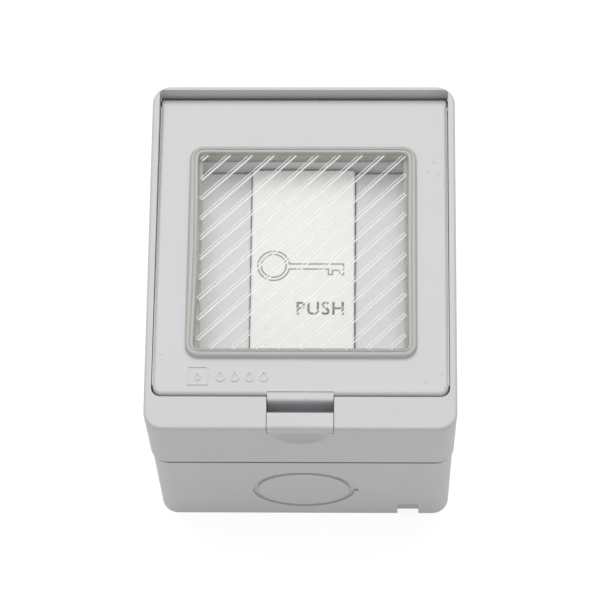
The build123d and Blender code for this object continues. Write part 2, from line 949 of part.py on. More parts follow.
def make_wire_clamps():
    clamps = []
    half = foot_width / 2
    for y in terminal_screw_places():
        clamp = block(-half, half, y - half, y + half, clamp_low, clamp_top)
        hole = upright(0, y, clamp_low - 1, clamp_top + 1, terminal_screw_radius + clamp_play)
        clamps.append(clamp - hole)
    return Compound(children=clamps)


def make_housing_seal():
    return gasket_ring(seam_z - gasket_depth, seam_z, gasket_play)


save(make_back_box(), "back_box")
save(make_front_cover(), "front_cover")
save(make_housing_seal(), "housing_seal")
save(make_cover_screws(), "cover_screws")
save(make_lid(), "lid")
save(make_lid_window(), "lid_window")
save(make_lid_seal(), "lid_seal")
save(make_hinge_pins(), "hinge_pins")
save(make_carrier_frame(), "carrier_frame")
save(make_carrier_screws(), "carrier_screws")
save(make_blank(-1), "blank_left")
save(make_blank(1), "blank_right")
save(make_push_plate(), "push_plate")
save(make_plate_axle(), "plate_axle")
save(make_switch_body(), "switch_body")
save(make_switch_base(), "switch_base")
save(make_plunger(), "plunger")
save(make_contact_bridge(), "contact_bridge")
save(make_return_spring(), "return_spring")
for name, (leg, foot_side, arms) in terminals.items():
    save(terminal(leg, foot_side, arms), name)
save(make_terminal_screws(), "terminal_screws")
save(make_wire_clamps(), "wire_clamps")

print("lid hinge axis at y", round(hinge_y, 3), "z", round(hinge_z, 3))
print("plate axle at y", round(axle_y, 3), "z", round(axle_z, 3))
print("plunger lever", round(axle_y - module_y, 3), "travel", round(travel, 3))
print("spring seat z", round(base_top + spring_end_gap, 3))
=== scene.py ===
# %% [markdown]
# Weatherproof exit button. A pale grey box lies on its back, with a sloping hinged lid, a soft clear
# window with slanting ribs and a white push plate behind it. The solids of the box, the lid and the
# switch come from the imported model. This lesson adds finishes to them, and makes the pieces whose form
# is soft or printed: the window's bead, its sheet and ribs, the key and the word on the plate, the
# raised marks on the lid and the small lips and webs of the box.

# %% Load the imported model
import math

import bmesh
import bpy
from mathutils import Matrix, Vector


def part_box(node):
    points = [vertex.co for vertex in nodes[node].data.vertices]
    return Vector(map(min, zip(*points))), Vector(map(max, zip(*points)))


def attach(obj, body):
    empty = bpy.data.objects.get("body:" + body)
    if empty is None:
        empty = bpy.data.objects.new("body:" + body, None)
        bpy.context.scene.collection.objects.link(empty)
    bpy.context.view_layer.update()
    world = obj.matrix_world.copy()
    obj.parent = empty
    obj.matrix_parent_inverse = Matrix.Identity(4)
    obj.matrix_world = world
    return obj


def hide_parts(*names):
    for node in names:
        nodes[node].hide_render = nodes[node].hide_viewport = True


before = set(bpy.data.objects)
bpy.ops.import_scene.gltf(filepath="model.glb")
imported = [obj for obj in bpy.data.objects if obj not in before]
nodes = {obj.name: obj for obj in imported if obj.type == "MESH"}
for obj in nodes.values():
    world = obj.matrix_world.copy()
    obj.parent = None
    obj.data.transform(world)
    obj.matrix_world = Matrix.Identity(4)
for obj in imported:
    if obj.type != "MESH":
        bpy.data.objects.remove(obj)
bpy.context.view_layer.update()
MM = 0.001

# %% [markdown]
# The camera. The photograph was taken with a long lens from above the lower edge, so the front and the
# lower wall both show. A camera could be aimed with a tracking constraint, but its roll would then be
# lost. Here its three axes are written down, as they were fitted to the edges of the box.

# %% Camera
CAMERA_PLACE = Vector((16.245, -282.231, 705.952)) * MM
CAMERA_RIGHT = Vector((0.9997227, 0.01075642, -0.02094831))
CAMERA_DOWN = Vector((0.00184834, -0.9226795, -0.38556339))
CAMERA_AHEAD = Vector((-0.02347585, 0.38541776, -0.92244351))
LENS = 198.68
SENSOR = 36.0


def make_camera():
    data = bpy.data.cameras.new("camera")
    data.sensor_width = SENSOR
    data.lens = LENS
    data.clip_start = 0.01
    camera = bpy.data.objects.new("camera", data)
    bpy.context.scene.collection.objects.link(camera)
    turn = Matrix((CAMERA_RIGHT, -CAMERA_DOWN, -CAMERA_AHEAD)).transposed()
    camera.matrix_world = Matrix.Translation(CAMERA_PLACE) @ turn.to_4x4()
    bpy.context.scene.camera = camera
    return camera


camera = make_camera()
bpy.context.scene.view_settings.view_transform = "Standard"
print("camera at", tuple(round(v, 3) for v in camera.location))

# %% [markdown]
# Node trees. Shader maths is easier to read as an expression than as a list of links, so a small class
# wraps a socket and turns + - * into Math nodes. Any other node comes from one method that takes the
# node's type, its settings and the values or links of its sockets. Colour mixes have a method of their
# own.

# %% Sockets that do arithmetic
class Wire:
    """An output socket of a node tree that can be used in sums."""

    def __init__(self, recipe, socket):
        self.recipe = recipe
        self.socket = socket

    def maths(self, operation, first, second):
        made = self.recipe.node("ShaderNodeMath", {"operation": operation}, {0: first, 1: second})
        return made["Value"]

    def __add__(self, other):
        return self.maths("ADD", self, other)

    def __sub__(self, other):
        return self.maths("SUBTRACT", self, other)

    def __rsub__(self, other):
        return self.maths("SUBTRACT", other, self)

    def __mul__(self, other):
        return self.maths("MULTIPLY", self, other)

    def above(self, level):
        return self.maths("GREATER_THAN", self, level)


class Recipe:
    """A material's node tree, built one node at a time."""

    def __init__(self, name):
        self.material = bpy.data.materials.new(name)
        self.material.use_nodes = True
        self.tree = self.material.node_tree
        self.tree.nodes.clear()

    def node(self, kind, settings=None, sockets=None):
        made = self.tree.nodes.new(kind)
        for key, value in (settings or {}).items():
            if key == "stops":
                self.set_stops(made.color_ramp, value)
            else:
                setattr(made, key, value)
        for key, value in (sockets or {}).items():
            if isinstance(value, Wire):
                self.tree.links.new(value.socket, made.inputs[key])
            else:
                made.inputs[key].default_value = value
        return {out.name: Wire(self, out) for out in made.outputs if out.enabled}

    def set_stops(self, ramp, stops):
        ramp.elements[0].position, ramp.elements[0].color = stops[0][0], (*stops[0][1], 1)
        ramp.elements[1].position, ramp.elements[1].color = stops[-1][0], (*stops[-1][1], 1)
        for place, colour in stops[1:-1]:
            ramp.elements.new(place).color = (*colour, 1)

    def place(self, scale=(1, 1, 1)):
        """Object coordinates, stretched by a Mapping node where wanted."""
        where = self.node("ShaderNodeTexCoord")["Object"]
        return self.node("ShaderNodeMapping", {}, {"Vector": where, "Scale": scale})["Vector"]

    def noise(self, scale, detail=2.0, where=None):
        where = where or self.place()
        sockets = {"Vector": where, "Scale": scale, "Detail": detail}
        return self.node("ShaderNodeTexNoise", {}, sockets)["Fac"]

    def mix(self, factor, first, second):
        made = self.tree.nodes.new("ShaderNodeMix")
        made.data_type = "RGBA"
        for index, value in ((0, factor), (6, first), (7, second)):
            if isinstance(value, Wire):
                self.tree.links.new(value.socket, made.inputs[index])
            elif index:
                made.inputs[index].default_value = (*value, 1)
            else:
                made.inputs[index].default_value = value
        return Wire(self, made.outputs[2])

    def bump(self, height, strength, distance):
        sockets = {"Height": height, "Strength": strength, "Distance": distance}
        return self.node("ShaderNodeBump", {}, sockets)["Normal"]

    def finish(self, sockets):
        shader = self.node("ShaderNodeBsdfPrincipled", {}, sockets)["BSDF"]
        self.node("ShaderNodeOutputMaterial", {}, {"Surface": shader})
        return self.material


def shade(red, green, blue):
    """A colour as it shows on a screen, 0 to 255, turned into the linear light that shaders use."""
    levels = [value / 255 for value in (red, green, blue)]
    return tuple(v / 12.92 if v <= 0.04045 else ((v + 0.055) / 1.055) ** 2.4 for v in levels)


def darker(colour, share):
    return tuple(value * share for value in colour)


print("screen grey 217 is", round(shade(217, 217, 217)[0], 3), "in linear light")

# %% [markdown]
# Moulded plastic. The box is pale grey moulded plastic with a fine spark-eroded grain. Flat paint would
# look like paper, so the colour drifts a little over the surface, the gloss is uneven, a fine grain
# gives the bump, and a few specks of dust lie on it, as they do in the photograph.

# %% Moulded plastics
GRAIN_SCALE = 2600
DRIFT_SCALE = 24
SMEAR_SCALE = 130
SPECK_SCALE = 420
SPECK_PICK_SCALE = 0.37
SPECK_PICK_LEVEL = 0.71
SPECK_RADIUS = 0.16
SPECK_SHADE = 0.55


def moulded(name, colour, roughness=0.42, grain=0.05, specks=0.0, drift=0.03):
    recipe = Recipe(name)
    drifting = recipe.noise(DRIFT_SCALE, 3.0)
    colour_now = recipe.mix(drifting, darker(colour, 1 - drift), darker(colour, 1 + drift))
    if specks:
        cells = recipe.node("ShaderNodeTexVoronoi", {}, {"Vector": recipe.place(), "Scale": SPECK_SCALE})
        chosen = recipe.noise(SPECK_SCALE * SPECK_PICK_SCALE, 0.0).above(SPECK_PICK_LEVEL)
        near = 1 - cells["Distance"].above(SPECK_RADIUS)
        colour_now = recipe.mix(near * chosen * specks, colour_now, darker(colour, SPECK_SHADE))
    smear = recipe.noise(SMEAR_SCALE, 4.0)
    fine = recipe.noise(GRAIN_SCALE, 2.0)
    return recipe.finish({
        "Base Color": colour_now,
        "Roughness": smear * 0.12 + (roughness - 0.06),
        "Normal": recipe.bump(fine, grain, 0.0002),
        "Specular IOR Level": 0.45,
    })


housing_plastic = moulded("housing_plastic", shade(214, 214, 215), 0.44, 0.07, 0.3)
lid_plastic = moulded("lid_plastic", shade(216, 216, 218), 0.40, 0.05, 0.25)
# The web's darker grey is painted shade for the recess of the notch.
web_plastic_painted_shade = moulded("web_plastic_painted_shade", shade(196, 196, 196), 0.5, 0.07)
blank_plastic = moulded("blank_plastic", shade(232, 232, 233), 0.42, 0.03, 0.2)
plate_plastic = moulded("plate_plastic", shade(251, 250, 246), 0.30, 0.015, 0.25, 0.004)
carrier_plastic = moulded("carrier_plastic", shade(186, 186, 186), 0.5, 0.08)
switch_plastic = moulded("switch_plastic", shade(226, 224, 216), 0.5, 0.08)
plunger_plastic = moulded("plunger_plastic", shade(70, 70, 74), 0.45, 0.06)
print("plastics made:", len(bpy.data.materials))

# %% [markdown]
# Rubber and metal. The seals are dark foam with open pores, so a cell pattern drives both their bump and
# their shade. The lip in the seam is the same foam in grey, and its grey is painted shade for the seam's
# shadow line. The strips are rolled brass with long fine streaks, made by stretching a noise along the
# strip. Screws and pins are zinc plated, with a faint mottle in the gloss.

# %% Rubber and metals
def foam(name, colour):
    recipe = Recipe(name)
    cells = recipe.node("ShaderNodeTexVoronoi", {}, {"Vector": recipe.place(), "Scale": 2400})
    pores = cells["Distance"]
    return recipe.finish({
        "Base Color": recipe.mix(pores, darker(colour, 0.6), colour),
        "Roughness": pores * 0.1 + 0.78,
        "Normal": recipe.bump(pores, 0.5, 0.0003),
    })


def metal(name, colour, roughness, streaks):
    recipe = Recipe(name)
    grain = recipe.noise(900, 3.0, recipe.place(streaks))
    mottle = recipe.noise(260, 2.0)
    return recipe.finish({
        "Base Color": recipe.mix(mottle, darker(colour, 0.88), colour),
        "Metallic": 1.0,
        "Roughness": grain * 0.16 + (roughness - 0.08),
        "Normal": recipe.bump(grain, 0.12, 0.0001),
    })


seal_foam = foam("seal_foam", (0.035, 0.035, 0.037))
# The lip's grey foam is painted shade for the shadow line in the seam.
lip_foam_painted_shade = foam("lip_foam_painted_shade", (0.11, 0.11, 0.11))
zinc = metal("zinc_plating", (0.62, 0.62, 0.6), 0.32, (1, 1, 1))
spring_steel = metal("spring_steel", (0.55, 0.55, 0.56), 0.25, (1, 1, 4))
brass = metal("rolled_brass", (0.72, 0.5, 0.22), 0.3, (1, 0.08, 0.08))
print("rubber and metals made")

# %% [markdown]
# Finishes go on the solids by their names. A solid that is already right keeps its mesh: only the
# material in its slot changes.

# %% Dress the solids
FINISHES = {
    "back_box": housing_plastic, "front_cover": housing_plastic, "lid": lid_plastic,
    "lid_seal": seal_foam, "housing_seal": seal_foam,
    "hinge_pins": zinc, "cover_screws": zinc, "carrier_screws": zinc, "plate_axle": zinc,
    "terminal_screws": zinc, "wire_clamps": zinc, "return_spring": spring_steel,
    "terminal_com": brass, "terminal_no": brass, "terminal_nc": brass, "contact_bridge": brass,
    "carrier_frame": carrier_plastic, "blank_left": blank_plastic, "blank_right": blank_plastic,
    "push_plate": plate_plastic, "switch_body": switch_plastic, "switch_base": switch_plastic,
    "plunger": plunger_plastic,
}


def dress(name, material):
    mesh = nodes[name].data
    if not mesh.materials:
        mesh.materials.append(material)
    for slot in nodes[name].material_slots:
        slot.material = material


for name, material in FINISHES.items():
    dress(name, material)
print("dressed", len(FINISHES), "solids")

# %% [markdown]
# The lid slopes, so that rain runs off it. Whatever lies on the lid is drawn flat around the middle of
# the lid's face, and one matrix then tips it into place. The corners of the solids give the rest.

# %% The lid's own frame
LID_SLOPE = math.radians(2.62)
LID_HEIGHT_MID = 54.82 * MM
on_lid = Matrix.Translation((0, 0, LID_HEIGHT_MID)) @ Matrix.Rotation(-LID_SLOPE, 4, "X")
SMOOTH_ANGLE = math.radians(35)
plate_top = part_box("push_plate")[1][2]
print("plate top at", round(plate_top / MM, 2), "mm")


def keep(name, bm, matrix, materials, body, smooth=True):
    """Turn a bmesh into a piece at its place, riding on a body."""
    bmesh.ops.transform(bm, matrix=matrix, verts=bm.verts)
    bmesh.ops.recalc_face_normals(bm, faces=bm.faces)
    mesh = bpy.data.meshes.new(name)
    bm.to_mesh(mesh)
    bm.free()
    for material in materials:
        mesh.materials.append(material)
    if smooth:
        mesh.shade_smooth()
        mesh.set_sharp_from_angle(angle=SMOOTH_ANGLE)
    piece = bpy.data.objects.new(name, mesh)
    bpy.context.scene.collection.objects.link(piece)
    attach(piece, body)
    print(name, "has", len(mesh.polygons), "faces")
    return piece


def rounded_face(bm, half_x, half_y, corner, cuts=0, turns=8):
    """A flat rectangle with round corners, its long sides cut into short edges."""
    bmesh.ops.create_grid(bm, x_segments=1, y_segments=1, size=1.0)
    bmesh.ops.scale(bm, vec=(half_x, half_y, 1), verts=bm.verts)
    bmesh.ops.bevel(
        bm, geom=bm.verts[:], offset=corner, offset_type="OFFSET", affect="VERTICES",
        segments=turns, profile=0.5, material=-1,
    )
    if cuts:
        sides = [edge for edge in bm.edges if edge.calc_length() > half_x]
        bmesh.ops.subdivide_edges(bm, edges=sides, cuts=cuts)
    return bm.faces[:]


def raise_faces(bm, faces, height):
    """Extrude flat faces upwards and give back what moved."""
    grown = bmesh.ops.extrude_face_region(bm, geom=faces)
    verts = [item for item in grown["geom"] if isinstance(item, bmesh.types.BMVert)]
    bmesh.ops.translate(bm, vec=(0, 0, height), verts=verts)
    return [item for item in grown["geom"] if isinstance(item, bmesh.types.BMFace)]


# %% [markdown]
# Clear rubber. The window is soft and clear, and slightly green where it is thick. Real refraction would
# leave the plate behind it dark, because lamps don't shine through it in the render, so the rubber is
# thin by alpha: the sheet nearly clear, the bead half clear. The bead's crown is a lighter copy with a
# faint glow, which is painted light. Its edges are a darker copy, which is painted shade with some real
# green of thick rubber. The ribs' flanks are a painted highlight: near white, nearly opaque and with a
# painted glow.

# %% Clear rubber
def clear_rubber(name, colour, alpha, roughness, haze=0.05, glow=0.0):
    recipe = Recipe(name)
    cloud = recipe.noise(180, 3.0)
    streak = recipe.noise(1400, 2.0)
    return recipe.finish({
        "Base Color": recipe.mix(cloud, darker(colour, 0.94), colour),
        "Roughness": cloud * 0.1 + roughness,
        "Alpha": cloud * haze + (alpha - haze / 2),
        "Normal": recipe.bump(streak, 0.04, 0.0002),
        "IOR": 1.45,
        # The emission is painted light: a glow on the bead's crown and on the ribs' flanks.
        "Emission Color": recipe.mix(cloud, (0.9, 0.9, 0.9), (1, 1, 1)),
        "Emission Strength": glow,
    })


sheet_rubber = clear_rubber("window_sheet", shade(240, 241, 240), 0.05, 0.16, 0.03)
# The bead's crown is a lighter copy with a faint glow, which is painted light. Its edges are a darker
# copy, which is painted shade and partly the green of thick rubber.
bead_crown_painted_light = clear_rubber("bead_crown_painted_light", shade(226, 227, 221), 0.4, 0.14, 0.1, 0.04)
bead_edge_painted_shade = clear_rubber("bead_edge_painted_shade", shade(194, 194, 184), 0.66, 0.14, 0.1)
rib_crown = clear_rubber("rib_crown", shade(232, 233, 232), 0.06, 0.12, 0.03)
# The ribs' flanks are a painted highlight: near white, nearly opaque, with a painted glow.
rib_flank_painted_highlight = clear_rubber("rib_flank_painted_highlight", shade(252, 252, 252), 0.8, 0.2, 0.05, 0.34)
print("clear rubber made")

# %% [markdown]
# The bead is the round frame that holds the window in the lid. It could be a curve with a bevel, but its
# inner edge isn't parallel to the outer one: at the left it bows inwards. So it is a rounded rectangle
# that is inset step by step. Each row of the profile gives the step, the height that the new edge goes
# to, both in millimetres, and the material: 0 for the clear crown, a lighter copy with painted light, 1
# for the darker edges and the groove, a darker copy with painted shade and some real green of thick
# rubber.
# A smooth function then pushes the inner edge.

# %% Window bead
WINDOW_Y = 1.45 * MM
WINDOW_HALF_X = 22.8 * MM
WINDOW_HALF_Y = 23.75 * MM
BEAD_HALF_X = 24.6 * MM
BEAD_HALF_Y = 25.1 * MM
BEAD_Y = 1.05 * MM
BEAD_CORNER = 3.0 * MM
BOW = 0.75 * MM
BOW_WIDTH = 2.0 * MM
SIDE_CUTS = 30
BEAD_PROFILE = (
    (0.06, 0.85, 1), (0.22, 1.25, 1), (0.3, 1.42, 0), (0.3, 1.42, 0), (0.1, 1.2, 1), (0.08, 1.2, 1),
    (0.12, 1.4, 1), (0.3, 1.36, 0), (0.22, 1.1, 0), (0.14, 0.7, 1), (0.04, -0.5, 1),
)


def bow_inwards(bm, sign, depth):
    """Push the inner edge of one side towards the middle, most at mid height."""
    for vert in bm.verts:
        reach = 1 - (vert.co.y / BEAD_HALF_Y) ** 2
        inner = BEAD_HALF_X - abs(vert.co.x)
        if vert.co.x * sign > 0 and reach > 0 and inner > 0:
            vert.co.x -= sign * depth * reach ** 2 * min(1.0, inner / BOW_WIDTH)


def make_bead():
    bm = bmesh.new()
    ring = rounded_face(bm, BEAD_HALF_X, BEAD_HALF_Y, BEAD_CORNER, SIDE_CUTS)
    for step, height, material in BEAD_PROFILE:
        made = bmesh.ops.inset_individual(bm, faces=ring, thickness=step * MM, use_even_offset=True)
        for vert in ring[0].verts:
            vert.co.z = height * MM
        for face in made["faces"]:
            face.material_index = material
    bmesh.ops.delete(bm, geom=ring, context="FACES")
    bow_inwards(bm, -1, BOW)
    bow_inwards(bm, 1, BOW * 0.2)
    bmesh.ops.translate(bm, vec=(0, BEAD_Y, 0), verts=bm.verts)
    # Crown faces get the painted light copy, and edges and groove get the painted shade copy.
    return keep("window_bead", bm, on_lid, [bead_crown_painted_light, bead_edge_painted_shade], "lid")


bead = make_bead()

# %% [markdown]
# The sheet is a thin soft pane between the beads, a little slack, so it sags by a fraction of a
# millimetre towards the plate. A grid that is pushed down in the middle gives that. A skirt lines the
# lid's opening under it, with a flange at its foot.

# %% Window sheet
SHEET_THICK = 0.8 * MM
SHEET_SAG = 0.35 * MM
SHEET_CELLS = 24
LID_THICK = 2.0 * MM
FLANGE_LAP = 1.2 * MM
SKIRT_WALL = 1.0 * MM
SKIRT_CORNER = 2.5 * MM


def sag(x, y):
    """How far the slack pane hangs at a place, 0 at its edges."""
    share_x = max(0.0, 1 - (x / WINDOW_HALF_X) ** 2)
    share_y = max(0.0, 1 - (y / WINDOW_HALF_Y) ** 2)
    return SHEET_SAG * share_x * share_y


def make_sheet():
    bm = bmesh.new()
    bmesh.ops.create_grid(bm, x_segments=SHEET_CELLS, y_segments=SHEET_CELLS, size=1.0)
    bmesh.ops.scale(bm, vec=(WINDOW_HALF_X, WINDOW_HALF_Y, 1), verts=bm.verts)
    raise_faces(bm, bm.faces[:], -SHEET_THICK)
    for vert in bm.verts:
        vert.co.z -= sag(vert.co.x, vert.co.y)
    bmesh.ops.translate(bm, vec=(0, WINDOW_Y, 0), verts=bm.verts)
    return keep("window_sheet", bm, on_lid, [sheet_rubber], "lid")


def make_skirt():
    """The wall that lines the lid's opening, and the flange at its foot."""
    bm = bmesh.new()
    pane = rounded_face(bm, WINDOW_HALF_X + FLANGE_LAP, WINDOW_HALF_Y + FLANGE_LAP, SKIRT_CORNER)
    bmesh.ops.inset_individual(bm, faces=pane, thickness=FLANGE_LAP, use_even_offset=True)
    tall = bmesh.ops.inset_individual(bm, faces=pane, thickness=SKIRT_WALL, use_even_offset=True)
    bmesh.ops.delete(bm, geom=pane, context="FACES")
    raise_faces(bm, tall["faces"], LID_THICK - SHEET_THICK)
    bmesh.ops.translate(bm, vec=(0, WINDOW_Y, -LID_THICK), verts=bm.verts)
    # The skirt takes the darker edge rubber, whose darkness is painted shade in the lid's opening.
    return keep("window_skirt", bm, on_lid, [bead_edge_painted_shade], "lid")


sheet = make_sheet()
skirt = make_skirt()

# %% [markdown]
# Nineteen ribs run across the pane from the lower left to the upper right. In the photograph each one
# shows as two bright lines, its flanks, with a clear crown between them. So a rib is a bar with bevelled
# long edges. Its flanks have a second material, which is a painted highlight: white, with a painted glow.
# Its ends stop short of the bead.

# %% Window ribs
RIB_COUNT = 19
RIB_PITCH = 4.78 * MM
RIB_WIDTH = 0.78 * MM
RIB_HEIGHT = 0.24 * MM
RIB_BEVEL = 0.15 * MM
RIB_EDGE_X = 22.1 * MM
RIB_EDGE_Y = 23.2 * MM
RIB_PIECES = 12
RIB_END_LIMIT = 4 * MM
FLAT = 0.9


def rib_span(shift):
    """Both ends along X of the line y = x + shift inside the pane."""
    left = max(-RIB_EDGE_X, -RIB_EDGE_Y - shift)
    right = min(RIB_EDGE_X, RIB_EDGE_Y - shift)
    return left, right


def add_rib(bm, shift):
    left, right = rib_span(shift)
    length = (right - left) * math.sqrt(2)
    made = bmesh.ops.create_cube(bm, size=1.0)["verts"]
    bmesh.ops.scale(bm, vec=(length, RIB_WIDTH, 2 * RIB_HEIGHT), verts=made)
    top = [e for v in made for e in v.link_edges if is_long_top(e, length)]
    cut = bmesh.ops.bevel(
        bm, geom=list(set(top)), offset=RIB_BEVEL, offset_type="OFFSET", affect="EDGES",
        segments=1, profile=0.5, material=-1,
    )
    whole = connected(cut["faces"][0])
    turn = Matrix.Rotation(math.radians(45), 4, "Z")
    middle = (left + right) / 2
    place = Matrix.Translation((middle, middle + shift, 0)) @ turn
    bmesh.ops.transform(bm, matrix=place, verts=whole)


def connected(face):
    """All vertices that hang together with one face."""
    found = set(face.verts)
    grown = list(found)
    while grown:
        vert = grown.pop()
        for edge in vert.link_edges:
            other = edge.other_vert(vert)
            if other not in found:
                found.add(other)
                grown.append(other)
    return list(found)


def is_long_top(edge, length):
    a, b = (vert.co for vert in edge.verts)
    return min(a.z, b.z) > 0 and abs(a.x - b.x) > length / 2


def make_ribs():
    bm = bmesh.new()
    first = WINDOW_HALF_Y - WINDOW_HALF_X
    for index in range(RIB_COUNT):
        add_rib(bm, first + (index - RIB_COUNT // 2) * RIB_PITCH)
    long_edges = [e for e in bm.edges if e.calc_length() > RIB_END_LIMIT]
    bmesh.ops.subdivide_edges(bm, edges=long_edges, cuts=RIB_PIECES, use_grid_fill=True)
    bm.normal_update()
    for face in bm.faces:
        face.material_index = 0 if abs(face.normal.z) > FLAT else 1
    for vert in bm.verts:
        vert.co.z -= sag(vert.co.x, vert.co.y)
    bmesh.ops.translate(bm, vec=(0, WINDOW_Y, 0), verts=bm.verts)
    # Flank faces carry the painted highlight material.
    return keep("window_ribs", bm, on_lid, [rib_crown, rib_flank_painted_highlight], "lid", smooth=False)


ribs = make_ribs()
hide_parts("lid_window")
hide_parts("lid_window")
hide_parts("lid_window")
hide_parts("lid_window")

# %% [markdown]
# Print on the plate. A plain outline key and the word for what to do are pad-printed in grey on the white
# plate. Print has almost no thickness, so each stroke is a thin skin that lies on the plate: an
# outline is drawn as one face, and an inset by the stroke's width leaves only its border.

# %% Ink
def ink(name, colour):
    recipe = Recipe(name)
    cover = recipe.noise(1500, 2.0)
    return recipe.finish({
        "Base Color": recipe.mix(cover, colour, darker(colour, 1.12)),
        "Roughness": cover * 0.15 + 0.4,
    })


print_ink = ink("print_ink", shade(150, 151, 157))
word_ink = ink("word_ink", shade(132, 133, 140))
INK_THICK = 0.03 * MM
PLATE_TOP = Matrix.Translation((0, 0, plate_top))
print("ink made")

# %% Key pictogram
KEY_RING = Vector((-6.3, 1.1)) * MM
KEY_OUTER = 3.6 * MM
KEY_INNER = 2.85 * MM
KEY_LINE = 0.33 * MM
SHANK_TOP = 1.72 * MM
SHANK_LOW = 0.2 * MM
SHANK_END = 9.0 * MM
TOOTH_LOW = -1.1 * MM
TOOTH_GAP_TOP = -0.1 * MM
TEETH = (5.4 * MM, 6.6 * MM, 7.7 * MM)
TOOTH_SLANT = 0.3 * MM
ARC_STEPS = 56


def arc(centre, radius, start, end, steps):
    """Points on an arc, start and end in radians."""
    points = []
    for index in range(steps + 1):
        angle = start + (end - start) * index / steps
        points.append((centre.x + radius * math.cos(angle), centre.y + radius * math.sin(angle)))
    return points


def border(bm, points, line):
    """A closed outline as a flat stroke of one width."""
    face = bm.faces.new([bm.verts.new((x, y, 0)) for x, y in points])
    bm.normal_update()
    if face.normal.z < 0:
        face.normal_flip()
    bmesh.ops.inset_individual(bm, faces=[face], thickness=line, use_even_offset=True)
    bmesh.ops.delete(bm, geom=[face], context="FACES")


def make_key():
    bm = bmesh.new()
    high = math.asin((SHANK_TOP - KEY_RING.y) / KEY_OUTER)
    low = math.asin((SHANK_LOW - KEY_RING.y) / KEY_OUTER)
    outline = arc(KEY_RING, KEY_OUTER, high, low + 2 * math.pi, ARC_STEPS)
    outline += [
        (TEETH[0], SHANK_LOW), (TEETH[0], TOOTH_LOW), (TEETH[1], TOOTH_LOW),
        (TEETH[1], TOOTH_GAP_TOP), (TEETH[2], TOOTH_GAP_TOP), (TEETH[2] + TOOTH_SLANT, TOOTH_LOW),
        (SHANK_END, TOOTH_LOW), (SHANK_END, SHANK_TOP),
    ]
    border(bm, outline, KEY_LINE)
    hole_end = 2 * math.pi * (1 - 1 / ARC_STEPS)
    border(bm, arc(KEY_RING, KEY_INNER, 0, hole_end, ARC_STEPS - 1), KEY_LINE)
    raise_faces(bm, bm.faces[:], INK_THICK)
    return keep("key_print", bm, PLATE_TOP, [print_ink], "button", smooth=False)


make_key()

# %% [markdown]
# The word is set in Blender's own plain typeface. A text object is turned into a mesh first, then
# stretched to the height and width that it has on the plate.

# %% Word
WORD = "PUSH"
WORD_LEFT = -1.25 * MM
WORD_RIGHT = 8.95 * MM
WORD_LOW = -10.35 * MM
WORD_HIGH = -7.3 * MM
WORD_SPACING = 1.12
WORD_WEIGHT = 0.012
WELD = 1e-5


def make_word():
    curve = bpy.data.curves.new("word_curve", "FONT")
    curve.body = WORD
    curve.space_character = WORD_SPACING
    curve.offset = WORD_WEIGHT
    text = bpy.data.objects.new("word_text", curve)
    bpy.context.scene.collection.objects.link(text)
    bpy.context.view_layer.update()
    shown = text.evaluated_get(bpy.context.evaluated_depsgraph_get())
    flat = bpy.data.meshes.new_from_object(shown)
    bpy.data.objects.remove(text)
    bm = bmesh.new()
    bm.from_mesh(flat)
    bmesh.ops.remove_doubles(bm, verts=bm.verts, dist=WELD)
    xs = [vert.co.x for vert in bm.verts]
    ys = [vert.co.y for vert in bm.verts]
    scale_x = (WORD_RIGHT - WORD_LEFT) / (max(xs) - min(xs))
    scale_y = (WORD_HIGH - WORD_LOW) / (max(ys) - min(ys))
    bmesh.ops.translate(bm, vec=(-min(xs), -min(ys), 0), verts=bm.verts)
    bmesh.ops.scale(bm, vec=(scale_x, scale_y, 1), verts=bm.verts)
    bmesh.ops.translate(bm, vec=(WORD_LEFT, WORD_LOW, 0), verts=bm.verts)
    raise_faces(bm, bm.faces[:], INK_THICK)
    return keep("word_print", bm, PLATE_TOP, [word_ink], "button", smooth=False)


make_word()

# %% [markdown]
# Raised marks. At the lower left of the lid a small square frame and a row of marks stand a fifth of a
# millimetre proud, in the lid's own plastic. Here they are a frame round a drop and a row of four drops,
# each a raised outline.

# %% Raised marks on the lid
MARK_HEIGHT = 0.2 * MM
MARK_LINE = 0.36 * MM
FRAME_MIDDLE = Vector((-21.75, -28.05)) * MM
FRAME_HALF = 2.2 * MM
DROP_SMALL = 0.72 * MM
DROP_LARGE = 0.95 * MM
DROP_FIRST = -16.9 * MM
DROP_PITCH = 3.05 * MM
DROP_COUNT = 4
DROP_TIP = 2.0
DROP_START = math.radians(150)
DROP_END = math.radians(390)
DROP_STEPS = 20
DROP_LOWER_SMALL = 0.4 * MM
DROP_LOWER_LARGE = 0.45 * MM
DROP_LINE_SMALL = 0.8


def drop_outline(middle, radius):
    """A circle whose upper side is drawn out to a point."""
    tip = (middle.x, middle.y + DROP_TIP * radius)
    return arc(middle, radius, DROP_START, DROP_END, DROP_STEPS) + [tip]


def make_marks():
    bm = bmesh.new()
    x, y = FRAME_MIDDLE
    square = [
        (x - FRAME_HALF, y - FRAME_HALF), (x + FRAME_HALF, y - FRAME_HALF),
        (x + FRAME_HALF, y + FRAME_HALF), (x - FRAME_HALF, y + FRAME_HALF),
    ]
    border(bm, square, MARK_LINE)
    inside = FRAME_MIDDLE - Vector((0, DROP_LOWER_SMALL))
    border(bm, drop_outline(inside, DROP_SMALL), MARK_LINE * DROP_LINE_SMALL)
    for index in range(DROP_COUNT):
        middle = Vector((DROP_FIRST + index * DROP_PITCH, y - DROP_LOWER_LARGE))
        border(bm, drop_outline(middle, DROP_LARGE), MARK_LINE)
    raise_faces(bm, bm.faces[:], MARK_HEIGHT)
    return keep("lid_marks", bm, on_lid, [lid_plastic], "lid", smooth=False)


make_marks()

